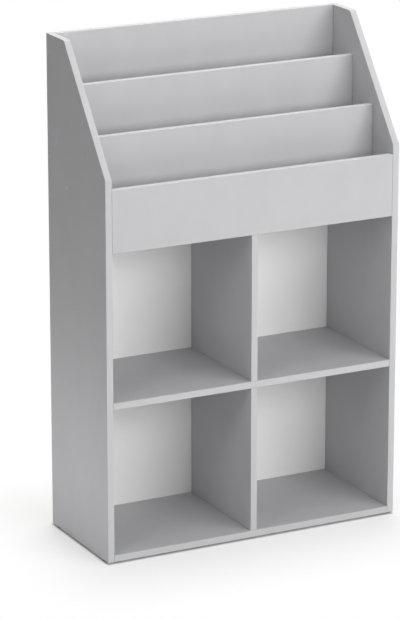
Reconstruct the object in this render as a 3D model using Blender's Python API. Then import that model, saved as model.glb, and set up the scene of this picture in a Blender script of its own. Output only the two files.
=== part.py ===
"""Kids bookcase: three stepped book tiers over four open cubes, in melamine board.

The case knocks down into fourteen boards.  Connecting screws pass through the side panels into the
ends of the boards, wooden dowels line up the dividers and the lips, and nail-on glides carry it all.

Sizes are in metres and +Z is up.  A place is given from the case's own datum: X from the middle of
the case, Y back from the front edges, Z up from the floor.  An empty carries every piece, so that
the origin lies on the floor under the middle of the finished case, with the front facing -Y.
"""

from math import pi, tan

import bmesh
import bpy
from mathutils import Matrix, Vector

# Driving dimensions of the case
BOARD = 0.015                # thickness of every melamine board
CUBE_WIDTH = 0.330           # clear width of one cube
CUBE_HEIGHT = 0.3275         # clear height of one cube
TIER_DEPTH = 0.0747          # clear depth of one book tier, lip to lip
TIER_RISE = 0.093            # step up from one tier to the next
LIP_HEIGHT = 0.1375          # height of each tier's front lip
BACK_RISE = 0.0955           # top of the case above the top of the rear lip
SLOPE_FOOT_RISE = 0.0215     # foot of the side panel's slope above the front lip
TOP_FLAT = 0.088             # level top of the side panel, behind the slope
SLOPE_CORNER_RADIUS = 0.008  # rounding of the slope's two corners
EDGE_EASE = 0.0006           # eased edges of the boards
BACK_PANEL = 0.003           # thickness of the thin back panel
BACK_PANEL_INSET = 0.002     # back panel's edge, in from the outline of the case

# Driving dimensions of the fittings
CLEARANCE = 0.0003           # between any two pieces that meet
SCREW_LENGTH = 0.050
SCREW_HEAD = 0.010           # diameters of the head, the plain collar and the thread
SCREW_COLLAR = 0.007
SCREW_THREAD = 0.006
SCREW_TIP = 0.003
SCREW_RIM = 0.0012           # straight rim of the head, above its cone
SCREW_COLLAR_LENGTH = 0.013  # from the top of the head
SCREW_TIP_LENGTH = 0.003
CAP_POCKET = 0.0015          # depth of the screw head below the face, room for a cover cap
SCREW_INSET = 0.045          # front row of screws and dowels, in from the front edges of the case
LIP_SCREW_DROP = 0.036       # screw below the top of a lip or of the back board
LIP_DOWEL_RISE = 0.025       # dowel above the bottom of a lip
BACK_SCREW_RISE = 0.060      # lower screw of the back board, above its bottom edge
DOWEL = 0.008
DOWEL_CHAMFER = 0.001
DOWEL_FACE_BITE = 0.010      # dowel's reach into the face of a board
DOWEL_END_BITE = 0.020       # dowel's reach into the end of a board
GLIDE_HEIGHT = 0.004         # floor to the underside of the case
GLIDE_MARGIN = 0.0005        # glide's rim inside the board's edge
GLIDE_ROUND = 0.001
GLIDE_SPACING = 0.018        # glide ahead of the nearest bottom screw
GLIDE_PIN = 0.002
GLIDE_PIN_LENGTH = 0.011

# Facets
ROUND_SIDES = 8
GLIDE_SIDES = 12
CORNER_STEPS = 5
OVERSHOOT = 0.002            # how far a bore's cutter reaches out of the board
MERGE = 1e-6
SHARP_ANGLE = pi / 4

# Tiers, front to back
TIERS = ("front", "middle", "rear")

# Widths
INNER_WIDTH = 2 * CUBE_WIDTH + BOARD
WIDTH = INNER_WIDTH + 2 * BOARD

# Depths
TIER_PITCH = TIER_DEPTH + BOARD
BACK_BOARD_Y = len(TIERS) * TIER_PITCH
CASE_DEPTH = BACK_BOARD_Y + BOARD
BACK_PANEL_Y = CASE_DEPTH + CLEARANCE
FULL_DEPTH = BACK_PANEL_Y + BACK_PANEL

# Heights of the undersides of the boards
CASE_Z = GLIDE_HEIGHT
LOWER_CUBE_Z = CASE_Z + BOARD
MIDDLE_SHELF_Z = LOWER_CUBE_Z + CUBE_HEIGHT
UPPER_CUBE_Z = MIDDLE_SHELF_Z + BOARD
UPPER_SHELF_Z = UPPER_CUBE_Z + CUBE_HEIGHT
TIER_Z = [UPPER_SHELF_Z + step * TIER_RISE for step in range(len(TIERS))]
BACK_BOARD_Z = UPPER_SHELF_Z + BOARD
SLOPE_FOOT_Z = TIER_Z[0] + LIP_HEIGHT + SLOPE_FOOT_RISE
TOP_Z = TIER_Z[-1] + LIP_HEIGHT + BACK_RISE

# Rows of screws and dowels, the rear one in line with the rear lip, and the ways that they point
FASTENER_ROWS = {"front": SCREW_INSET, "rear": (len(TIERS) - 1) * TIER_PITCH + BOARD / 2}
INWARD = {"left": Vector((1, 0, 0)), "right": Vector((-1, 0, 0))}
UP = Vector((0, 0, 1))


def clear_scene():
    for thing in list(bpy.data.objects):
        bpy.data.objects.remove(thing, do_unlink=True)


def finish(name, colour, roughness, metallic=0.0):
    """A plain finish: one colour, roughness and metallic value."""
    material = bpy.data.materials.new(name)
    material.use_nodes = True
    shader = material.node_tree.nodes["Principled BSDF"]
    shader.inputs["Base Color"].default_value = (*colour, 1.0)
    shader.inputs["Roughness"].default_value = roughness
    shader.inputs["Metallic"].default_value = metallic
    return material


def add_object(name, mesh, carrier, matrix, material=None):
    """Put a mesh into the scene under its carrier, at a place in the case's own datum."""
    thing = bpy.data.objects.new(name, mesh)
    bpy.context.scene.collection.objects.link(thing)
    thing.parent = carrier
    thing.matrix_local = matrix
    if material and not mesh.materials:
        mesh.materials.append(material)
    return thing


def to_mesh(name, shape):
    """Turn a bmesh into a closed mesh with its faces pointing out."""
    bmesh.ops.remove_doubles(shape, verts=shape.verts, dist=MERGE)
    bmesh.ops.recalc_face_normals(shape, faces=shape.faces)
    mesh = bpy.data.meshes.new(name)
    shape.to_mesh(mesh)
    shape.free()
    return mesh


def pointing(direction, at):
    """A place whose +Z runs along the direction."""
    return Matrix.Translation(at) @ direction.to_track_quat("Z", "Y").to_matrix().to_4x4()


# Boards

def ease_edges(shape):
    """Take the sharpness off the long edges, and leave the facets of rounded corners alone."""
    sharp = [edge for edge in shape.edges if edge.calc_face_angle() > SHARP_ANGLE]
    bmesh.ops.bevel(shape, geom=sharp, offset=EDGE_EASE, segments=1, affect="EDGES", profile=0.5)


def board_mesh(name, size):
    """A rectangular board from its lower left front corner, with eased edges."""
    shape = bmesh.new()
    bmesh.ops.create_cube(shape, size=1.0)
    bmesh.ops.translate(shape, verts=shape.verts, vec=(0.5, 0.5, 0.5))
    bmesh.ops.scale(shape, verts=shape.verts, vec=size)
    ease_edges(shape)
    return to_mesh(name, shape)


def rounded_corner(before, corner, after, radius):
    """Points of the arc that rounds a corner between two straight edges."""
    to_before = (before - corner).normalized()
    to_after = (after - corner).normalized()
    half_angle = to_before.angle(to_after) / 2
    start = corner + to_before * radius / tan(half_angle)
    end = corner + to_after * radius / tan(half_angle)
    middle = start + to_before.orthogonal() * radius
    if (middle - end).length > radius + MERGE:
        middle = start - to_before.orthogonal() * radius
    first = start - middle
    sweep = first.angle_signed(end - middle)
    return [middle + Matrix.Rotation(-sweep * step / CORNER_STEPS, 2) @ first
            for step in range(CORNER_STEPS + 1)]


def side_outline():
    """Outline of a side panel in Y and Z: upright, with a slope from the front edge to the level top."""
    foot = Vector((0.0, SLOPE_FOOT_Z))
    peak = Vector((CASE_DEPTH - TOP_FLAT, TOP_Z))
    front_corner = Vector((0.0, CASE_Z))
    top_corner = Vector((CASE_DEPTH, TOP_Z))
    rear_corner = Vector((CASE_DEPTH, CASE_Z))
    return [rear_corner, top_corner,
            *rounded_corner(top_corner, peak, foot, SLOPE_CORNER_RADIUS),
            *rounded_corner(peak, foot, front_corner, SLOPE_CORNER_RADIUS),
            front_corner]


def side_panel_mesh(name):
    """The side outline, thickened by one board along +X."""
    shape = bmesh.new()
    face = shape.faces.new([shape.verts.new((0.0, y, z)) for y, z in side_outline()])
    grown = bmesh.ops.extrude_face_region(shape, geom=[face])["geom"]
    far_side = [item for item in grown if isinstance(item, bmesh.types.BMVert)]
    bmesh.ops.translate(shape, verts=far_side, vec=(BOARD, 0.0, 0.0))
    bmesh.ops.recalc_face_normals(shape, faces=shape.faces)
    ease_edges(shape)
    return to_mesh(name, shape)


def between_sides(y, z, depth, height):
    """Size and corner of a board that runs from one side panel to the other."""
    length = INNER_WIDTH - 2 * CLEARANCE
    return (length, depth, height), Vector((-length / 2, y, z))


def divider(z):
    """Size and corner of a board that stands on edge in the middle of a row of cubes."""
    size = (BOARD, CASE_DEPTH, CUBE_HEIGHT - 2 * CLEARANCE)
    return size, Vector((-BOARD / 2, 0.0, z + CLEARANCE))


def tier_shelf(tier):
    """A tier's floor, from the back of its lip to the back board, level with the foot of the lip."""
    front = tier * TIER_PITCH + BOARD + CLEARANCE
    return between_sides(front, TIER_Z[tier], BACK_BOARD_Y - CLEARANCE - front, BOARD)


def upper_shelf():
    """The front tier's floor and the cubes' ceiling, from the front lip to the rear edge."""
    front = BOARD + CLEARANCE
    return between_sides(front, UPPER_SHELF_Z, CASE_DEPTH - front, BOARD)


def upper_back_board():
    foot = BACK_BOARD_Z + CLEARANCE
    return between_sides(BACK_BOARD_Y, foot, BOARD, TOP_Z - foot)


def back_panel():
    """The thin panel on the rear edges, from the floor of the cubes to their ceiling."""
    foot = CASE_Z + BACK_PANEL_INSET
    size = (WIDTH - 2 * BACK_PANEL_INSET, BACK_PANEL, BACK_BOARD_Z - BACK_PANEL_INSET - foot)
    return size, Vector((-size[0] / 2, BACK_PANEL_Y, foot))


def rectangular_boards():
    """Every plain board by name, as its size and its lower left front corner."""
    boards = {
        "bottom_panel": between_sides(0.0, CASE_Z, CASE_DEPTH, BOARD),
        "middle_shelf": between_sides(0.0, MIDDLE_SHELF_Z, CASE_DEPTH, BOARD),
        "upper_shelf": upper_shelf(),
        "lower_divider": divider(LOWER_CUBE_Z),
        "upper_divider": divider(UPPER_CUBE_Z),
        "middle_tier_shelf": tier_shelf(1),
        "rear_tier_shelf": tier_shelf(2),
        "upper_back_board": upper_back_board(),
    }
    for tier, name in enumerate(TIERS):
        boards[f"{name}_lip"] = between_sides(tier * TIER_PITCH, TIER_Z[tier], BOARD, LIP_HEIGHT)
    return boards


# Turned fittings

def turn(outline, sides):
    """Spin an outline of (radius, height) points about Z."""
    shape = bmesh.new()
    points = [shape.verts.new((radius, 0.0, height)) for radius, height in outline]
    lines = [shape.edges.new(pair) for pair in zip(points, points[1:])]
    bmesh.ops.spin(shape, geom=points + lines, cent=(0, 0, 0), axis=(0, 0, 1),
                   angle=2 * pi, steps=sides, use_merge=True)
    bmesh.ops.remove_doubles(shape, verts=shape.verts, dist=MERGE)
    return shape


def smooth(mesh):
    mesh.shade_smooth()
    mesh.set_sharp_from_angle(angle=SHARP_ANGLE)
    return mesh


def screw_outline(room=0.0):
    """Connecting screw from the rim of its head to its tip, grown all round by some room."""
    cone = (SCREW_HEAD - SCREW_COLLAR) / 2
    return [(SCREW_HEAD / 2 + room, SCREW_RIM),
            (SCREW_COLLAR / 2 + room, SCREW_RIM + cone),
            (SCREW_COLLAR / 2 + room, SCREW_COLLAR_LENGTH),
            (SCREW_THREAD / 2 + room, SCREW_COLLAR_LENGTH + room),
            (SCREW_THREAD / 2 + room, SCREW_LENGTH - SCREW_TIP_LENGTH + room),
            (SCREW_TIP / 2 + room, SCREW_LENGTH + room),
            (0.0, SCREW_LENGTH + room)]


def screw_mesh():
    """Countersunk connecting screw; +Z runs from the head to the tip."""
    outline = [(0.0, 0.0), (SCREW_HEAD / 2, 0.0)] + screw_outline()
    return smooth(to_mesh("connecting_screw", turn(outline, ROUND_SIDES)))


def screw_bore():
    """Stepped bore for a screw: the pocket for its cap, its cone, its collar and its thread."""
    mouth = SCREW_HEAD / 2 + CLEARANCE
    start = -CAP_POCKET - OVERSHOOT
    return turn([(0.0, start), (mouth, start)] + screw_outline(CLEARANCE), ROUND_SIDES)


def dowel_mesh(length):
    """Wooden dowel with chamfered ends, standing on its lower end."""
    radius = DOWEL / 2
    inner = radius - DOWEL_CHAMFER
    outline = [(0.0, 0.0), (inner, 0.0), (radius, DOWEL_CHAMFER),
               (radius, length - DOWEL_CHAMFER), (inner, length), (0.0, length)]
    return smooth(to_mesh("dowel", turn(outline, ROUND_SIDES)))


def dowel_bore(length):
    radius = DOWEL / 2 + CLEARANCE
    outline = [(0.0, -CLEARANCE), (radius, -CLEARANCE),
               (radius, length + CLEARANCE), (0.0, length + CLEARANCE)]
    return turn(outline, ROUND_SIDES)


def glide_mesh():
    """Nail-on glide: a low disc with a rounded foot, and the pin it is driven in by."""
    radius = BOARD / 2 - GLIDE_MARGIN
    top = GLIDE_HEIGHT - CLEARANCE
    pin = GLIDE_PIN / 2
    outline = [(0.0, 0.0), (radius - GLIDE_ROUND, 0.0), (radius, GLIDE_ROUND), (radius, top),
               (pin, top), (pin, GLIDE_HEIGHT + GLIDE_PIN_LENGTH - pin),
               (0.0, GLIDE_HEIGHT + GLIDE_PIN_LENGTH)]
    return smooth(to_mesh("glide", turn(outline, GLIDE_SIDES)))


def glide_bore():
    radius = GLIDE_PIN / 2 + CLEARANCE
    end = GLIDE_HEIGHT + GLIDE_PIN_LENGTH + CLEARANCE
    start = GLIDE_HEIGHT - OVERSHOOT
    return turn([(0.0, start), (radius, start), (radius, end), (0.0, end)], GLIDE_SIDES)


# Places of the fittings

def side_screw_points():
    """Where the screws pass through a side panel, as Y and Z of each one by name."""
    half = BOARD / 2
    points = {}
    for board, z in (("bottom", CASE_Z), ("middle_shelf", MIDDLE_SHELF_Z), ("upper_shelf", UPPER_SHELF_Z)):
        for row, y in FASTENER_ROWS.items():
            points[f"{board}_{row}"] = (y, z + half)
    for tier, name in enumerate(TIERS):
        lip_y = tier * TIER_PITCH + half
        points[f"{name}_lip"] = (lip_y, TIER_Z[tier] + LIP_HEIGHT - LIP_SCREW_DROP)
        if tier:
            shelf_y = (tier * TIER_PITCH + BOARD + BACK_BOARD_Y) / 2
            points[f"{name}_tier_shelf"] = (shelf_y, TIER_Z[tier] + half)
    points["back_board_top"] = (BACK_BOARD_Y + half, TOP_Z - LIP_SCREW_DROP)
    points["back_board_foot"] = (BACK_BOARD_Y + half, BACK_BOARD_Z + BACK_SCREW_RISE)
    return points


def screw_places():
    """Every screw by name, its head at the origin and its tip along +Z."""
    places = {}
    for side, inward in INWARD.items():
        head_x = -inward.x * (WIDTH / 2 - CAP_POCKET)
        for name, (y, z) in side_screw_points().items():
            places[f"screw_{side}_{name}"] = pointing(inward, (head_x, y, z))
    for row, y in FASTENER_ROWS.items():
        foot = (0.0, y, CASE_Z + CAP_POCKET)
        head = (0.0, y, UPPER_SHELF_Z + BOARD - CAP_POCKET)
        places[f"screw_lower_divider_{row}"] = pointing(UP, foot)
        places[f"screw_upper_divider_{row}"] = pointing(-UP, head)
    return places


def lip_dowel_places():
    """The dowel in each end of each lip, started inside the side panel."""
    places = {}
    for side, inward in INWARD.items():
        start_x = -inward.x * (INNER_WIDTH / 2 + DOWEL_FACE_BITE)
        for tier, name in enumerate(TIERS):
            start = (start_x, tier * TIER_PITCH + BOARD / 2, TIER_Z[tier] + LIP_DOWEL_RISE)
            places[f"dowel_{side}_{name}_lip"] = pointing(inward, start)
    return places


def divider_dowel_places():
    """The dowels through the middle shelf, from the lower divider into the upper one."""
    return {f"dowel_dividers_{row}": pointing(UP, (0.0, y, MIDDLE_SHELF_Z - DOWEL_END_BITE))
            for row, y in FASTENER_ROWS.items()}


def glide_places():
    """A glide near each corner, under the side panels, and one under the middle of the case."""
    near = SCREW_INSET - GLIDE_SPACING
    side_x = (WIDTH - BOARD) / 2
    places = {"glide_centre": Matrix.Translation((0.0, CASE_DEPTH / 2, 0.0))}
    for side, x in (("left", -side_x), ("right", side_x)):
        for row, y in (("front", near), ("rear", CASE_DEPTH - near)):
            places[f"glide_{side}_{row}"] = Matrix.Translation((x, y, 0.0))
    return places


# Assembly

def add_copies(mesh, places, carrier, material):
    """One object for each place, all sharing the mesh."""
    for name, place in places.items():
        add_object(name, mesh, carrier, place, material)


def add_bores(shape, places, target):
    """Copy a bore to each place in the target mesh."""
    bore = to_mesh("bore", shape)
    for place in places.values():
        start = len(target.verts)
        target.from_mesh(bore)
        target.verts.ensure_lookup_table()
        bmesh.ops.transform(target, matrix=place, verts=target.verts[start:])


def bore_board(board, cutter):
    """Drill every fitting's bore that crosses the board."""
    drill = board.modifiers.new("fitting bores", "BOOLEAN")
    drill.operation = "DIFFERENCE"
    drill.solver = "EXACT"
    drill.object = cutter


def build():
    clear_scene()
    carrier = bpy.data.objects.new("bookcase", None)
    bpy.context.scene.collection.objects.link(carrier)
    carrier.location = (0.0, -FULL_DEPTH / 2, 0.0)

    melamine = finish("grey_melamine", (0.60, 0.60, 0.61), 0.45)
    fibreboard = finish("white_fibreboard", (0.80, 0.80, 0.79), 0.55)
    steel = finish("zinc_plated_steel", (0.62, 0.62, 0.60), 0.35, 1.0)
    beech = finish("beech", (0.60, 0.42, 0.24), 0.65)
    plastic = finish("dark_plastic", (0.03, 0.03, 0.03), 0.50)

    boards = []
    for name, left in (("left_side_panel", -WIDTH / 2), ("right_side_panel", WIDTH / 2 - BOARD)):
        place = Matrix.Translation((left, 0.0, 0.0))
        boards.append(add_object(name, side_panel_mesh(name), carrier, place, melamine))
    for name, (size, corner) in rectangular_boards().items():
        place = Matrix.Translation(corner)
        boards.append(add_object(name, board_mesh(name, size), carrier, place, melamine))
    size, corner = back_panel()
    add_object("back_panel", board_mesh("back_panel", size), carrier, Matrix.Translation(corner), fibreboard)

    lip_dowel = DOWEL_FACE_BITE + DOWEL_END_BITE
    divider_dowel = BOARD + 2 * DOWEL_END_BITE
    add_copies(screw_mesh(), screw_places(), carrier, steel)
    add_copies(dowel_mesh(lip_dowel), lip_dowel_places(), carrier, beech)
    add_copies(dowel_mesh(divider_dowel), divider_dowel_places(), carrier, beech)
    add_copies(glide_mesh(), glide_places(), carrier, plastic)

    bores = bmesh.new()
    add_bores(screw_bore(), screw_places(), bores)
    add_bores(dowel_bore(lip_dowel), lip_dowel_places(), bores)
    add_bores(dowel_bore(divider_dowel), divider_dowel_places(), bores)
    add_bores(glide_bore(), glide_places(), bores)
    cutter = add_object("fitting_bores", to_mesh("fitting_bores", bores), carrier, Matrix())
    cutter.hide_render = True
    cutter.display_type = "WIRE"
    for board in boards:
        bore_board(board, cutter)


build()
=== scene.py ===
"""Kids bookcase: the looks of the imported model.

The boards stay as they are packed and get their finishes here: pearl-grained grey melamine with edge
banding and raw chipboard edges, and a thin back panel that is white inside and bare fibreboard behind.
The small fittings are surfaces worked out with numpy.  Sizes are in metres and +Z is up.
"""

from math import cos, pi, radians, sin

import bpy
import numpy as np
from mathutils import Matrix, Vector


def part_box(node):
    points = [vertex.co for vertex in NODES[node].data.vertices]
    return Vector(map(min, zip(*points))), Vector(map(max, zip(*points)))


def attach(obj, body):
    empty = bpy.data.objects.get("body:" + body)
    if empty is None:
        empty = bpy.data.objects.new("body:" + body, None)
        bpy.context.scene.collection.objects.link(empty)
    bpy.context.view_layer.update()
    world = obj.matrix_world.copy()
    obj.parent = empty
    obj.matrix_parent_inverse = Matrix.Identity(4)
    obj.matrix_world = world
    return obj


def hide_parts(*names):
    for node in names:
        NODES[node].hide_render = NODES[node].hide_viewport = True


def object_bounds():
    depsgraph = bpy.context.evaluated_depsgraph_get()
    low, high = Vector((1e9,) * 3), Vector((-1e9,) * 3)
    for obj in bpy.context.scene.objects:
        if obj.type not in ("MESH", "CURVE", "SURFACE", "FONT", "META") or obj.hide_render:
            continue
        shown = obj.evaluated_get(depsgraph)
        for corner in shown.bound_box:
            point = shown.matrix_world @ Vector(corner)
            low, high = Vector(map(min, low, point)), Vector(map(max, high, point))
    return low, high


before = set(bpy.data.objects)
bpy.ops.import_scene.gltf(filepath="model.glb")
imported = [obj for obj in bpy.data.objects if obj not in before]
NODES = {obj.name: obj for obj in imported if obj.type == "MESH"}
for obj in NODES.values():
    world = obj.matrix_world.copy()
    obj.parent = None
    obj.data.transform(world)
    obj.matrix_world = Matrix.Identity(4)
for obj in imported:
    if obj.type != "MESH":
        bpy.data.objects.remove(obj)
CAD_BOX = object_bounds()

# Camera, placed by what it looks at
CAMERA_AIM = np.array((-0.058, 0.0, 0.493))
CAMERA_DISTANCE = 7.236
CAMERA_YAW = radians(27.22)        # to the right of straight on
CAMERA_PITCH = radians(16.66)      # below level
CAMERA_LENS = 193.5                # millimetres, on the default sensor

# Floor, in shares of white
FLOOR_REACH = 9.0                  # from its middle to its sides
FLOOR_BOUNCE = 0.80                # its colour as the case sees it
FLOOR_SEEN = 1.00                  # as the camera sees it
FLOOR_PAINTED_SHADE = 0.75                 # and right under the case, in the gap over the glides: painted shade, darker than the floor around
FLOOR_EDGE = 0.005                 # how far out the painted shade under the case goes
FLOOR_FADE = ((0.0, 0.0), (FLOOR_EDGE, 0.40), (0.28, 1.0))   # distance from the case, share of white

# Lamps
CASE_MIDDLE = (0.0, 0.0, 0.55)
LEFT_FOOT = (-0.35, 0.02, 0.16)
LAMPS = {
    "top_lamp": {"place": (0.0, 0.2, 3.0), "aim": CASE_MIDDLE, "size": (2.4, 2.4), "watts": 36.5},
    "rear_lamp": {"place": (0.8, 1.2, 2.8), "aim": CASE_MIDDLE, "size": (2.0, 2.0), "watts": 30.5},
    "front_bank": {"place": (1.05, -4.19, 1.87), "aim": CASE_MIDDLE, "size": (4.0, 2.0), "watts": 142.0},
    "right_lamp": {"place": (2.6, -2.6, 3.13), "aim": CASE_MIDDLE, "size": (1.6, 1.6), "watts": 24.3},
    "left_high": {"place": (-3.37, -1.95, 2.80), "aim": CASE_MIDDLE, "size": (1.6, 1.6), "watts": 30.0},
    "left_near": {"place": (-0.72, 0.02, 0.16), "aim": LEFT_FOOT, "size": (0.9, 0.2), "watts": 0.66},
    "back_fill": {"place": (1.0, 4.0, 0.9), "aim": CASE_MIDDLE, "size": (2.0, 1.2), "watts": 50.0},
}

# Patterns: colours are in linear light, scales are repeats to the metre, bumps are strength and depth
NOISE_USUAL = (0.3, 0.7)           # where nearly all values of a noise lie
MATT_SPECULAR = 0.25               # weak gloss of matt boards

# Grey melamine
MELAMINE = (0.535, 0.535, 0.547)
MELAMINE_DEEP = (0.508, 0.508, 0.519)
MELAMINE_ROUGHNESS = (0.56, 0.66)
BAND = (0.545, 0.545, 0.557)
BAND_DEPTH = 0.0009                # thickness of the edge banding
CLOUDS = 16.0
CLOUD_STRETCH = (1.0, 1.0, 0.6)    # the clouds are taller than they are wide
CLOUD_SHARE = 0.75                 # of the change in tone; the pearl grain makes the rest
PEARL = 900.0
PEARL_HEIGHT = 0.3                 # of its bump, next to that of raw chips
BOARD_BUMP = (0.5, 0.0002)
PATTERN_STEP = (0.37, 0.53, 0.71)  # how far the pattern moves on from board to board

# Raw chipboard
CHIP_LIGHT = (0.62, 0.45, 0.28)
CHIP_DARK = (0.26, 0.165, 0.09)
CHIP_FLATNESS = 2.6                # how much longer a chip is than it is thick
CHIPS = 300.0                      # in the core
CHIP_DUST = 1100.0                 # and finer wood under the faces
CHIP_DUST_LEAST = 0.5              # how dark the fine wood makes the core
CHIP_SKIN = (0.45, 0.75)           # where the fine wood begins and is full, in shares of half the board
RAW_DEPTH = 0.0001                 # skin of a raw edge, without its eased corners
RAW_ROUGHNESS = 0.85

# Back panel
PANEL_WHITE = (0.900, 0.899, 0.892)
PANEL_WHITE_DEEP = (0.885, 0.884, 0.877)
LACQUER_DEPTH = 0.0009             # the white face, with its eased corners
LACQUER_GRAIN = 700.0
LACQUER_ROUGHNESS = 0.55
FIBRE_LIGHT = (0.36, 0.235, 0.135)
FIBRE_DARK = (0.25, 0.155, 0.085)
FIBRES = 300.0
FIBRE_STRETCH = (0.25, 1.0, 1.0)   # the fibres lie across the panel
FIBRE_TANGLE = 0.7
FIBRE_ROUGHNESS = 0.80
PANEL_BUMP = (0.1, 0.0002)

# Finishes of the fittings
ZINC_DARK = (0.40, 0.41, 0.41)
ZINC_LIGHT = (0.54, 0.55, 0.54)
ZINC_STREAKS = 800.0
ZINC_ROUGHNESS = (0.26, 0.40)
BEECH_LIGHT = (0.66, 0.47, 0.28)
BEECH_DARK = (0.46, 0.29, 0.15)
BEECH_GRAIN = 0.08                 # how much the pattern is drawn out along the grain
BEECH_BANDS = 500.0
BEECH_BAND_SHARE = 0.5             # of the change in tone; the flecks make the rest
BEECH_FLECKS = 1600.0
BEECH_FLECK_SPAN = (0.55, 0.75)    # only the highest values of the noise are flecks
BEECH_ROUGHNESS = (0.55, 0.70)
BEECH_BUMP = (0.2, 0.0003)
# cover caps: grey plastic painted darker than the boards with shade, so that each cap shows as a faint dark
# mark, as a shaded pocket would
CAP_SHADED_LIGHT = (0.470, 0.470, 0.481)
CAP_SHADED_DEEP = (0.445, 0.445, 0.456)
CAP_TEXTURE = 2200.0
CAP_ROUGHNESS = (0.32, 0.44)
CAP_BUMP = (0.15, 0.0001)
GLIDE_LIGHT = (0.150, 0.150, 0.152)
GLIDE_DEEP = (0.110, 0.110, 0.112)
GLIDE_STEEL = (0.60, 0.60, 0.58)
GLIDE_TEXTURE = 2500.0
GLIDE_ROUGHNESS = (0.38, 0.55)
GLIDE_BUMP = (0.2, 0.0001)

# Sizes of the fittings
ROUND_SIDES = 36
PIECE_SHARP = radians(35)          # creases sharper than this stay crisp
POINT_SHARE = 0.1                  # width of a blunt point, next to its shank
POCKET_DEPTH = 0.0015              # from a side panel's face down to the screw head
CAP_FLANGE = 0.0062                # radii of a cover cap
CAP_PLUG = 0.0046
CAP_PLUG_END = ((0.0008, 0.0002), (0.0001, 0.0006))   # in from its wall, and out from the screw head
CAP_RIM = 0.00020                  # heights of its edge and its middle over the face
CAP_DOME = 0.00045
CAP_WALL = 0.6 * CAP_RIM           # and of the upright part of its edge
CAP_DOME_SPAN = (0.985, 0.1)       # shares of the flange's radius that its dome goes over
CAP_DOME_RINGS = 8
SCREW_HEAD = 0.0050                # radii along a connecting screw
SCREW_COLLAR = 0.0035
SCREW_CREST = 0.0030
SCREW_CORE = 0.0021
SCREW_POINT = 0.0014
SCREW_RIM = 0.0012                 # and the distances from its head
SCREW_COLLAR_END = 0.0130
SCREW_THREAD_END = 0.0485
SCREW_LENGTH = 0.0500
SCREW_EASE = 0.0003                # at the edge of the head
SCREW_STEP = 0.0004                # length of the step from the collar down to the core
SCREW_PITCH = 0.0030
ROWS_PER_PITCH = 8
TOOTH_SLOPE = 3.0                  # of its flanks, in heights of the tooth to a pitch
TOOTH_PEAK = 1.25                  # where the flanks would meet without the flat crest
KEY_FLAT = 0.0020                  # half the width across the flats of the key socket
KEY_DEPTH = 0.0028
DOWEL = 0.0040                     # radius
DOWEL_CHAMFER = 0.0010
DOWEL_FLUTES = 16
DOWEL_FLUTE_DEPTH = 0.00035
SIDES_PER_FLUTE = 4
GLIDE = 0.0070                     # radii of a glide and its pin
GLIDE_PIN = 0.0010
GLIDE_TOP = 0.0037                 # and the heights over its foot
GLIDE_TIP = 0.0150
GLIDE_POINT = 0.0015               # length of the pin's point
GLIDE_ROUND_IN = 0.0022            # half axes of the foot's rounding
GLIDE_ROUND_UP = 0.0018
GLIDE_ROUND_RINGS = 8
GLIDE_EASE = ((0.0, 0.0006), (0.0003, 0.0001), (0.0009, 0.0))   # in from the wall, and down from the top
NAIL_HEAD = 0.00275                # radii
NAIL_SHANK = 0.00070
NAIL_LENGTH = 0.0180
NAIL_POINT = 0.0021
NAIL_PROUD = 0.00025
NAIL_DOME_DROP = 0.6               # share of the head's height that it loses towards its edge
NAIL_DOME_SPAN = (1.0, 0.2)        # shares of the head's radius that its dome goes over
NAIL_DOME_RINGS = 4
NAILS_ACROSS = 7                   # along each shelf
NAILS_UP = 8                       # along each side panel
NAILS_PER_CUBE = 3                 # along each divider

# Which way each kind of fitting points, by the word in its name
HEADINGS = {"left": (1, 0, 0), "right": (-1, 0, 0), "lower": (0, 0, 1), "upper": (0, 0, -1),
            "dividers": (0, 0, 1), "glide": (0, 0, 1)}

# Which edges of each board are left raw and which are banded, as axis and side
RAW_EDGES = {
    "left_side_panel": ("Y+",),
    "right_side_panel": ("Y+",),
    "bottom_panel": ("Y+", "X-", "X+"),
    "middle_shelf": ("Y+", "X-", "X+"),
    "upper_shelf": ("Y-", "Y+", "X-", "X+"),
    "lower_divider": ("Y+", "Z-", "Z+"),
    "upper_divider": ("Y+", "Z-", "Z+"),
    "front_lip": ("X-", "X+"),
    "middle_lip": ("X-", "X+", "Z-"),
    "rear_lip": ("X-", "X+", "Z-"),
    "middle_tier_shelf": ("Y-", "Y+", "X-", "X+"),
    "rear_tier_shelf": ("Y-", "Y+", "X-", "X+"),
    "upper_back_board": ("X-", "X+", "Z-"),
}
BANDED_EDGES = {
    "left_side_panel": ("Y-", "Z-", "Z+"),
    "right_side_panel": ("Y-", "Z-", "Z+"),
    "bottom_panel": ("Y-",),
    "middle_shelf": ("Y-",),
    "lower_divider": ("Y-",),
    "upper_divider": ("Y-",),
    "front_lip": ("Z-", "Z+"),
    "middle_lip": ("Z+",),
    "rear_lip": ("Z+",),
    "upper_back_board": ("Z+",),
}


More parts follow.
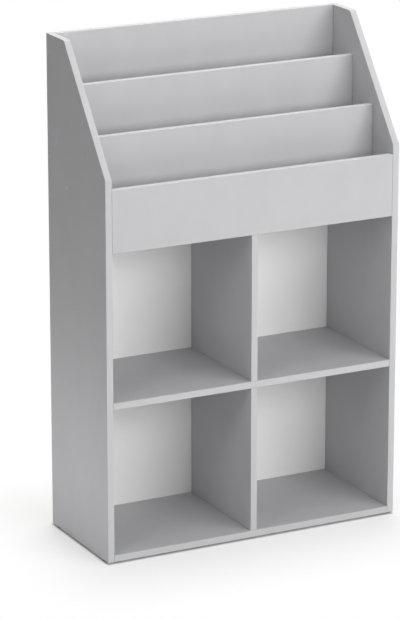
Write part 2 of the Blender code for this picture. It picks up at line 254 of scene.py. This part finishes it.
class Finish:
    """A material's node tree, with short ways to add nodes and to join them up."""

    def __init__(self, name, shift=(0.0, 0.0, 0.0)):
        self.material = bpy.data.materials.new(name)
        self.material.use_nodes = True
        self.tree = self.material.node_tree
        self.shader = self.tree.nodes["Principled BSDF"]
        self.place = self.add("TexCoord").outputs["Object"]
        self.shifted = self.add("Mapping", Vector=self.place, Location=shift).outputs["Vector"]

    def add(self, kind, settings=(), **inputs):
        """Add a node; an input is a plain value, or the output of another node."""
        node = self.tree.nodes.new("ShaderNode" + kind)
        for name, value in dict(settings).items():
            setattr(node, name, value)
        for name, value in inputs.items():
            self.feed(node.inputs[name.replace("_", " ")], value)
        return node

    def feed(self, socket, value):
        """Link a socket to an output, or set it to a plain value."""
        if isinstance(value, bpy.types.NodeSocket):
            self.tree.links.new(value, socket)
        else:
            socket.default_value = value

    def set(self, **inputs):
        """Set or feed the sockets of the surface shader."""
        for name, value in inputs.items():
            self.feed(self.shader.inputs[name.replace("_", " ")], value)

    def math(self, operation, first, second=0.0):
        node = self.add("Math", {"operation": operation})
        self.feed(node.inputs[0], first)
        self.feed(node.inputs[1], second)
        return node.outputs[0]

    def vector(self, operation, first, second=(0.0, 0.0, 0.0)):
        node = self.add("VectorMath", {"operation": operation})
        self.feed(node.inputs[0], first)
        self.feed(node.inputs[1], second)
        return node.outputs["Value" if operation == "LENGTH" else "Vector"]

    def mix(self, share, first, second):
        """Colour that goes from the first to the second as the share goes from 0 to 1."""
        node = self.add("Mix", {"data_type": "RGBA"})
        self.feed(node.inputs["Factor"], share)
        for socket, colour in zip(node.inputs[6:8], (first, second)):
            self.feed(socket, (*colour, 1.0) if isinstance(colour, tuple) else colour)
        return node.outputs[2]

    def mix_value(self, share, first, second):
        """Number that goes from the first to the second as the share goes from 0 to 1."""
        return self.add("Mix", Factor=share, A=first, B=second).outputs["Result"]

    def span(self, value, low, high, to_low=0.0, to_high=1.0):
        """The value's range from low to high, spread over another range and held at its ends."""
        node = self.add("MapRange", Value=value, From_Min=low, From_Max=high,
                        To_Min=to_low, To_Max=to_high)
        return node.outputs["Result"]

    def spread(self, noise, to_low=0.0, to_high=1.0):
        """The usual values of a noise, spread over another range and held at its ends."""
        return self.span(noise, *NOISE_USUAL, to_low, to_high)

    def noise(self, scale, detail=2.0, stretch=None, roughness=0.5):
        place = self.shifted
        if stretch:
            place = self.add("Mapping", Vector=place, Scale=stretch).outputs["Vector"]
        node = self.add("TexNoise", Vector=place, Scale=scale, Detail=detail, Roughness=roughness)
        return node.outputs["Fac"]

    def axes(self):
        """The three Object coordinates by letter."""
        split = self.add("SeparateXYZ", Vector=self.place)
        return dict(zip("XYZ", split.outputs))

    def bump(self, height, strength, depth):
        bump = self.add("Bump", Height=height, Strength=strength, Distance=depth)
        self.set(Normal=bump.outputs["Normal"])


def side_mask(finish, sides, low, high, depth):
    """1 within a depth of any of the named sides of a box, and 0 inside it."""
    axes = finish.axes()
    mask = None
    for side in sides:
        axis = "XYZ".index(side[0])
        if side[1] == "+":
            near = finish.math("GREATER_THAN", axes[side[0]], high[axis] - depth)
        else:
            near = finish.math("LESS_THAN", axes[side[0]], low[axis] + depth)
        mask = finish.math("MAXIMUM", mask, near) if mask else near
    return mask


def chipboard(finish, low, high):
    """Tone of a raw sawn edge, from 0 in the gaps to 1: flat chips pressed along the board, coarse in
    its core and fine under its faces."""
    thin = min(range(3), key=lambda axis: high[axis] - low[axis])
    stretch = tuple(CHIP_FLATNESS if axis == thin else 1.0 for axis in range(3))
    place = finish.add("Mapping", Vector=finish.shifted, Scale=stretch).outputs["Vector"]
    middle = (high[thin] + low[thin]) / 2
    half = (high[thin] - low[thin]) / 2
    depth = finish.math("ABSOLUTE", finish.math("SUBTRACT", finish.axes()["XYZ"[thin]], middle))
    skin = finish.span(depth, *(share * half for share in CHIP_SKIN))
    chips = finish.add("TexVoronoi", Vector=place, Scale=CHIPS).outputs["Color"]
    core = finish.add("SeparateColor", Color=chips).outputs[0]
    dust = finish.spread(finish.noise(CHIP_DUST, stretch=stretch))
    dusted = finish.math("MULTIPLY", core, finish.span(dust, 0.0, 1.0, CHIP_DUST_LEAST, 1.0))
    return finish.mix_value(skin, dusted, dust)


def melamine(board, number):
    """Matt grey melamine: faint clouds and a fine pearl grain, with banded and raw edges."""
    low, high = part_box(board)
    finish = Finish("melamine_" + board, shift=[number * step for step in PATTERN_STEP])
    clouds = finish.noise(CLOUDS, detail=3.0, stretch=CLOUD_STRETCH)
    pearl = finish.noise(PEARL, detail=3.0)
    tone = finish.math("ADD", finish.spread(clouds, 0.0, CLOUD_SHARE),
                       finish.spread(pearl, 0.0, 1.0 - CLOUD_SHARE))
    colour = finish.mix(tone, MELAMINE_DEEP, MELAMINE)
    roughness = finish.spread(pearl, *MELAMINE_ROUGHNESS)
    raw = side_mask(finish, RAW_EDGES[board], low, high, RAW_DEPTH)
    if board in BANDED_EDGES:
        band = side_mask(finish, BANDED_EDGES[board], low, high, BAND_DEPTH)
        colour = finish.mix(band, colour, BAND)
        raw = finish.math("MULTIPLY", raw, finish.math("SUBTRACT", 1.0, band))
    chips = chipboard(finish, low, high)
    finish.set(Base_Color=finish.mix(raw, colour, finish.mix(chips, CHIP_DARK, CHIP_LIGHT)),
               Roughness=finish.math("MAXIMUM", roughness, finish.math("MULTIPLY", raw, RAW_ROUGHNESS)),
               Specular_IOR_Level=MATT_SPECULAR)
    finish.bump(finish.mix_value(raw, finish.math("MULTIPLY", pearl, PEARL_HEIGHT), chips), *BOARD_BUMP)
    return finish.material


def thin_panel():
    """Back panel: a white lacquered face towards the cubes, bare brown fibreboard behind."""
    finish = Finish("white_fibreboard")
    grain = finish.spread(finish.noise(LACQUER_GRAIN))
    white = finish.mix(grain, PANEL_WHITE_DEEP, PANEL_WHITE)
    fibres = finish.noise(FIBRES, detail=4.0, stretch=FIBRE_STRETCH, roughness=FIBRE_TANGLE)
    brown = finish.mix(finish.spread(fibres), FIBRE_DARK, FIBRE_LIGHT)
    bare = finish.math("GREATER_THAN", finish.axes()["Y"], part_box("back_panel")[0].y + LACQUER_DEPTH)
    finish.set(Base_Color=finish.mix(bare, white, brown),
               Roughness=finish.span(bare, 0.0, 1.0, LACQUER_ROUGHNESS, FIBRE_ROUGHNESS),
               Specular_IOR_Level=MATT_SPECULAR)
    finish.bump(fibres, *PANEL_BUMP)
    return finish.material


def zinc_plate():
    """Bright zinc plating on steel, with faint streaks."""
    finish = Finish("zinc_plated_steel")
    streaks = finish.noise(ZINC_STREAKS, detail=3.0)
    finish.set(Base_Color=finish.mix(streaks, ZINC_DARK, ZINC_LIGHT), Metallic=1.0,
               Roughness=finish.spread(streaks, *ZINC_ROUGHNESS))
    return finish.material


def beech(axis):
    """Pale beech with its grain along an axis: long soft bands and short darker flecks."""
    along = tuple(BEECH_GRAIN if letter == axis else 1.0 for letter in "XYZ")
    finish = Finish("beech_" + axis.lower())
    bands = finish.noise(BEECH_BANDS, stretch=along)
    flecks = finish.noise(BEECH_FLECKS, stretch=along)
    tone = finish.math("ADD", finish.spread(bands, 0.0, BEECH_BAND_SHARE),
                       finish.span(flecks, *BEECH_FLECK_SPAN, 0.0, 1.0 - BEECH_BAND_SHARE))
    finish.set(Base_Color=finish.mix(tone, BEECH_LIGHT, BEECH_DARK),
               Roughness=finish.spread(bands, *BEECH_ROUGHNESS))
    finish.bump(flecks, *BEECH_BUMP)
    return finish.material


def cap_plastic():
    """Moulded plastic in the boards' grey, painted darker with shade so that each cap shows as a faint dark
    mark, with a fine satin texture.
    """
    finish = Finish("cap_plastic")
    texture = finish.noise(CAP_TEXTURE)
    finish.set(Base_Color=finish.mix(finish.spread(texture), CAP_SHADED_DEEP, CAP_SHADED_LIGHT),
               Roughness=finish.spread(texture, *CAP_ROUGHNESS))
    finish.bump(texture, *CAP_BUMP)
    return finish.material


def glide_finish():
    """Dark grey moulded plastic with a fine spark-eroded texture, on a bright steel pin."""
    finish = Finish("dark_plastic")
    texture = finish.noise(GLIDE_TEXTURE)
    pin = finish.math("GREATER_THAN", finish.axes()["Z"], GLIDE_TOP)
    plastic = finish.mix(texture, GLIDE_DEEP, GLIDE_LIGHT)
    finish.set(Base_Color=finish.mix(pin, plastic, GLIDE_STEEL), Metallic=pin,
               Roughness=finish.spread(texture, *GLIDE_ROUGHNESS))
    finish.bump(texture, *GLIDE_BUMP)
    return finish.material


def dress_boards():
    """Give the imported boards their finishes."""
    finishes = {board: melamine(board, number) for number, board in enumerate(RAW_EDGES)}
    finishes["back_panel"] = thin_panel()
    for board, material in finishes.items():
        NODES[board].data.materials.clear()
        NODES[board].data.materials.append(material)


def heading_of(node):
    """Unit vector along a fitting, from its head or its foot, by the words in its name."""
    word = next(word for word in node.split("_") if word in HEADINGS)
    return np.array(HEADINGS[word], float)


def start_of(node):
    """Middle of the end of a fitting's box that it starts from."""
    low, high = np.array(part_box(node))
    heading = heading_of(node)
    return (low + high) / 2 - heading * abs((high - low) @ heading) / 2


def carried(profile, start, heading, sides=ROUND_SIDES):
    """Carry a profile of radius and height, each a number a ring or a number a ring and side, round
    a straight axis: point = start + radius (cos v a + sin v b) + height n, where n is the heading,
    a and b are square to it and v is the angle."""
    radius, height = (np.asarray(part, float).reshape(len(part), -1) + np.zeros(sides) for part in profile)
    across = np.roll(abs(heading), 1)
    beside = np.cross(heading, across)
    v = np.linspace(0.0, 2 * pi, sides, endpoint=False)
    flat = (radius * np.cos(v))[..., None] * across + (radius * np.sin(v))[..., None] * beside
    return start + flat + height[..., None] * heading


def ring_faces(rings, sides):
    """Faces of one stack of rings: a quad from ring i to ring i + 1 at each side, and a fan about
    a middle point, numbered after the rings, on the first ring and on the last."""
    here = np.arange(rings * sides).reshape(rings, sides)
    there = np.roll(here, -1, axis=1)
    quads = np.stack((here[:-1], there[:-1], there[1:], here[1:]), axis=-1).reshape(-1, 4)
    middles = np.broadcast_to(np.array([[rings * sides], [rings * sides + 1]]), (2, sides))
    foot = np.stack((middles[0], there[0], here[0]), axis=-1)
    top = np.stack((here[-1], there[-1], middles[1]), axis=-1)
    return quads, np.concatenate((foot, top))


def make_piece(name, stacks, material):
    """One mesh of closed ring stacks, an array of (stack, ring, side, XYZ), that rides on the case."""
    count, rings, sides = stacks.shape[:3]
    middles = stacks[:, [0, -1]].mean(axis=2)
    points = np.concatenate((stacks.reshape(count, -1, 3), middles), axis=1)
    shift = np.arange(count)[:, None, None] * points.shape[1]
    quads, fans = (faces + shift for faces in ring_faces(rings, sides))
    mesh = bpy.data.meshes.new(name)
    mesh.from_pydata(points.reshape(-1, 3).tolist(), [],
                     quads.reshape(-1, 4).tolist() + fans.reshape(-1, 3).tolist())
    mesh.shade_smooth()
    mesh.set_sharp_from_angle(angle=PIECE_SHARP)
    mesh.materials.append(material)
    piece = bpy.data.objects.new(name, mesh)
    bpy.context.scene.collection.objects.link(piece)
    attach(piece, "root")
    return piece


def cap_rings(screw):
    """Cover cap on a side screw, outwards from the screw head: a plug with a tapered end, then a
    flange on the face, domed as height = rim + (dome - rim) (1 - (radius / flange)^2)."""
    plug = [(CAP_PLUG - inwards, out) for inwards, out in CAP_PLUG_END]
    plug += [(CAP_PLUG, POCKET_DEPTH), (CAP_FLANGE, POCKET_DEPTH), (CAP_FLANGE, POCKET_DEPTH + CAP_WALL)]
    radius = CAP_FLANGE * np.linspace(*CAP_DOME_SPAN, CAP_DOME_RINGS)
    height = POCKET_DEPTH + CAP_RIM + (CAP_DOME - CAP_RIM) * (1 - (radius / CAP_FLANGE) ** 2)
    profile = np.concatenate((np.array(plug), np.stack((radius, height), axis=1))).T
    return carried(profile, start_of(screw), -heading_of(screw))


def screw_rings(screw):
    """Connecting screw from the floor of its key socket, over the head, down the collar and the
    thread, to the tip.  The socket is a hexagon, radius = flat / cos(angle from the nearest flat).
    On the thread, radius = core + (crest - core) tooth(height / pitch - v / 2 pi), and the tooth
    rises and falls in straight flanks with a narrow flat crest."""
    v = np.linspace(0.0, 2 * pi, ROUND_SIDES, endpoint=False)
    socket = KEY_FLAT / np.cos((v + pi / 6) % (pi / 3) - pi / 6)
    cone = SCREW_HEAD - SCREW_COLLAR
    plain = np.array([(SCREW_HEAD - SCREW_EASE, 0.0), (SCREW_HEAD, SCREW_EASE), (SCREW_HEAD, SCREW_RIM),
                      (SCREW_COLLAR, SCREW_RIM + cone), (SCREW_COLLAR, SCREW_COLLAR_END - SCREW_STEP),
                      (SCREW_CORE, SCREW_COLLAR_END)])
    rows = int((SCREW_THREAD_END - SCREW_COLLAR_END) / SCREW_PITCH * ROWS_PER_PITCH)
    height = np.linspace(SCREW_COLLAR_END, SCREW_THREAD_END, rows + 1)[1:, None]
    place = (height / SCREW_PITCH - v / (2 * pi)) % 1.0
    tooth = np.clip(TOOTH_PEAK - TOOTH_SLOPE * abs(place - 0.5), 0.0, 1.0)
    fade = np.clip(np.minimum(height - SCREW_COLLAR_END, SCREW_THREAD_END - height) / SCREW_PITCH, 0.0, 1.0)
    thread = SCREW_CORE + (SCREW_CREST - SCREW_CORE) * tooth * fade
    radius = np.concatenate((np.tile(socket, (2, 1)), np.repeat(plain[:, :1], ROUND_SIDES, axis=1), thread,
                             np.full((1, ROUND_SIDES), SCREW_POINT)))
    heights = np.concatenate(([KEY_DEPTH, 0.0], plain[:, 1], height[:, 0], [SCREW_LENGTH]))
    return carried((radius, heights), start_of(screw), heading_of(screw))


def dowel_rings(dowel):
    """Fluted dowel with chamfered ends: radius = full - depth (1 + cos(flutes v)) / 2 between the
    chamfers, on a circle that is smaller by the chamfer at both ends."""
    low, high = np.array(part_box(dowel))
    length = (high - low).max()
    sides = SIDES_PER_FLUTE * DOWEL_FLUTES
    v = np.linspace(0.0, 2 * pi, sides, endpoint=False)
    full = DOWEL - DOWEL_FLUTE_DEPTH * (1 + np.cos(DOWEL_FLUTES * v)) / 2
    end = np.full(sides, DOWEL - DOWEL_CHAMFER)
    heights = (0.0, DOWEL_CHAMFER, length - DOWEL_CHAMFER, length)
    return carried((np.stack((end, full, full, end)), heights), start_of(dowel), heading_of(dowel), sides)


def glide_rings(glide):
    """Nail-on glide, from its foot up: a foot rounded as a quarter ellipse, radius = full - in (1 - sin t)
    and height = up (1 - cos t), a short wall, an eased upper edge, and the pin with its point."""
    turn = np.linspace(0.0, pi / 2, GLIDE_ROUND_RINGS)
    foot = np.stack((GLIDE - GLIDE_ROUND_IN * (1 - np.sin(turn)),
                     GLIDE_ROUND_UP * (1 - np.cos(turn))), axis=1)
    rest = [(GLIDE - inwards, GLIDE_TOP - down) for inwards, down in GLIDE_EASE]
    rest += [(GLIDE_PIN, GLIDE_TOP), (GLIDE_PIN, GLIDE_TIP - GLIDE_POINT),
             (POINT_SHARE * GLIDE_PIN, GLIDE_TIP)]
    return carried(np.concatenate((foot, np.array(rest))).T, start_of(glide), heading_of(glide))


def nail_places():
    """Where the back panel is nailed: along both side panels, the shelves and the dividers."""
    middle = {board: (np.array(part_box(board)[0]) + np.array(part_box(board)[1])) / 2
              for board in ("left_side_panel", "right_side_panel", "bottom_panel", "middle_shelf",
                            "upper_shelf", "lower_divider", "upper_divider")}
    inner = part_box("bottom_panel")[1].x
    across = np.linspace(-inner, inner, NAILS_ACROSS + 2)[1:-1]
    up = np.linspace(middle["bottom_panel"][2], middle["upper_shelf"][2], NAILS_UP)
    rows = [np.stack((across, np.full(NAILS_ACROSS, middle[shelf][2])), axis=1)
            for shelf in ("bottom_panel", "middle_shelf", "upper_shelf")]
    rows += [np.stack((np.full(NAILS_UP, middle[side][0]), up), axis=1)
             for side in ("left_side_panel", "right_side_panel")]
    for divider in ("lower_divider", "upper_divider"):
        foot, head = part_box(divider)[0].z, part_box(divider)[1].z
        z = np.linspace(foot, head, NAILS_PER_CUBE + 2)[1:-1]
        rows.append(np.stack((np.full(NAILS_PER_CUBE, middle[divider][0]), z), axis=1))
    return np.concatenate(rows)


def nail_rings():
    """Nails through the back panel, all at once: a point, a thin shank and a low head, domed as
    height = proud (1 - drop (radius / head)^2)."""
    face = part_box("back_panel")[1].y
    dome = np.linspace(*NAIL_DOME_SPAN, NAIL_DOME_RINGS)
    head = np.stack((NAIL_HEAD * dome, NAIL_PROUD * (1 - NAIL_DOME_DROP * dome ** 2)), axis=1)
    shank = [(POINT_SHARE * NAIL_SHANK, -NAIL_LENGTH), (NAIL_SHANK, NAIL_POINT - NAIL_LENGTH),
             (NAIL_SHANK, 0.0), (NAIL_HEAD, 0.0)]
    one = carried(np.concatenate((np.array(shank), head)).T, np.array((0.0, face, 0.0)),
                  np.array((0.0, 1.0, 0.0)), ROUND_SIDES // 2)
    places = nail_places()
    shift = np.stack((places[:, 0], np.zeros(len(places)), places[:, 1]), axis=1)
    return one[None] + shift[:, None, None]


def make_fittings():
    """Caps and nails as new pieces, and screws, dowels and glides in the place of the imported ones."""
    zinc = zinc_plate()
    grain = {axis: beech(axis) for axis in "XZ"}
    cap = cap_plastic()
    dark = glide_finish()
    for node in sorted(NODES):
        kind = node.split("_")[0]
        if kind == "screw":
            piece = make_piece("threaded_" + node, screw_rings(node)[None], zinc)
        elif kind == "dowel":
            axis = "X" if heading_of(node)[0] else "Z"
            piece = make_piece("fluted_" + node, dowel_rings(node)[None], grain[axis])
        elif kind == "glide":
            piece = make_piece("rounded_" + node, glide_rings(node)[None], dark)
        else:
            continue
        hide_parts(node)
        if kind == "screw" and heading_of(node)[0]:
            make_piece(node.replace("screw", "cap", 1), cap_rings(node)[None], cap)
    make_piece("back_panel_nails", nail_rings(), zinc)


def make_camera():
    """Camera that looks at its aim along its yaw and pitch."""
    forward = np.array((sin(CAMERA_YAW) * cos(CAMERA_PITCH), cos(CAMERA_YAW) * cos(CAMERA_PITCH),
                        -sin(CAMERA_PITCH)))
    data = bpy.data.cameras.new("camera")
    data.lens = CAMERA_LENS
    camera = bpy.data.objects.new("camera", data)
    bpy.context.scene.collection.objects.link(camera)
    camera.location = CAMERA_AIM - CAMERA_DISTANCE * forward
    camera.rotation_euler = (pi / 2 - CAMERA_PITCH, 0.0, -CAMERA_YAW)
    bpy.context.scene.camera = camera


def make_lamp(name, place, aim, size, watts):
    """A soft lamp that looks at a point and isn't seen itself."""
    data = bpy.data.lights.new(name, "AREA")
    data.shape = "RECTANGLE"
    data.size, data.size_y = size
    data.energy = watts
    lamp = bpy.data.objects.new(name, data)
    bpy.context.scene.collection.objects.link(lamp)
    lamp.location = place
    lamp.rotation_euler = (Vector(place) - Vector(aim)).to_track_quat("Z", "Y").to_euler()
    lamp.visible_camera = False


def seen_rays(tree):
    """1 on rays from the camera, straight or by way of gloss or glass, and 0 on bounced light."""
    path = tree.nodes.new("ShaderNodeLightPath")
    seen = path.outputs["Is Camera Ray"]
    for ray in ("Is Glossy Ray", "Is Transmission Ray"):
        either = tree.nodes.new("ShaderNodeMath")
        either.operation = "MAXIMUM"
        tree.links.new(seen, either.inputs[0])
        tree.links.new(path.outputs[ray], either.inputs[1])
        seen = either.outputs[0]
    return seen


def make_world():
    """White for the eye and for gloss, and dark for bounced light, which comes from the lamps alone."""
    world = bpy.data.worlds.new("studio")
    world.use_nodes = True
    tree = world.node_tree
    tree.nodes.clear()
    background = tree.nodes.new("ShaderNodeBackground")
    background.inputs["Color"].default_value = (1.0, 1.0, 1.0, 1.0)
    tree.links.new(seen_rays(tree), background.inputs["Strength"])
    output = tree.nodes.new("ShaderNodeOutputWorld")
    tree.links.new(background.outputs["Background"], output.inputs["Surface"])
    bpy.context.scene.world = world


def floor_finish():
    """Pale floor that keeps the shadow near the case, with painted shade right under it, and turns plain
    white within a short distance; seen from below it is clear, so that the underside can be looked at."""
    finish = Finish("studio_floor")
    finish.tree.nodes.remove(finish.shader)
    seen = seen_rays(finish.tree)
    corner = CAD_BOX[1]
    beyond = finish.vector("SUBTRACT", finish.vector("ABSOLUTE", finish.place), (corner.x, corner.y, 0.0))
    reach = finish.vector("LENGTH", finish.vector("MAXIMUM", beyond, (0.0, 0.0, 0.0)))
    # painted shade: as the camera sees it, the floor is darker right under the case
    tone = finish.span(reach, 0.0, FLOOR_EDGE, FLOOR_PAINTED_SHADE, FLOOR_SEEN)
    matt = finish.add("BsdfDiffuse", Color=finish.span(seen, 0.0, 1.0, FLOOR_BOUNCE, tone)).outputs["BSDF"]
    white = finish.add("Emission", Strength=1.0).outputs["Emission"]
    share = 0.0
    for (near, less), (far, more) in zip(FLOOR_FADE, FLOOR_FADE[1:]):
        share = finish.math("ADD", finish.span(reach, near, far, 0.0, more - less), share)
    clear = finish.add("BsdfTransparent").outputs["BSDF"]
    below = finish.add("NewGeometry").outputs["Backfacing"]
    surface = matt
    for part, other in ((finish.math("MULTIPLY", share, seen), white), (below, clear)):
        mix = finish.add("MixShader", Fac=part)
        finish.feed(mix.inputs[1], surface)
        finish.feed(mix.inputs[2], other)
        surface = mix.outputs["Shader"]
    finish.feed(finish.tree.nodes["Material Output"].inputs["Surface"], surface)
    return finish.material


def make_floor():
    """Flat floor that carries the case and its shadow."""
    r = FLOOR_REACH
    mesh = bpy.data.meshes.new("studio_floor")
    mesh.from_pydata([(-r, -r, 0.0), (r, -r, 0.0), (r, r, 0.0), (-r, r, 0.0)], [], [(0, 1, 2, 3)])
    mesh.materials.append(floor_finish())
    floor = bpy.data.objects.new("studio_floor", mesh)
    bpy.context.scene.collection.objects.link(floor)


def make_studio():
    """Camera, white surroundings, floor and lamps."""
    make_camera()
    make_world()
    make_floor()
    for name, lamp in LAMPS.items():
        make_lamp(name, **lamp)
    bpy.context.scene.view_settings.view_transform = "Standard"


dress_boards()
make_fittings()
make_studio()
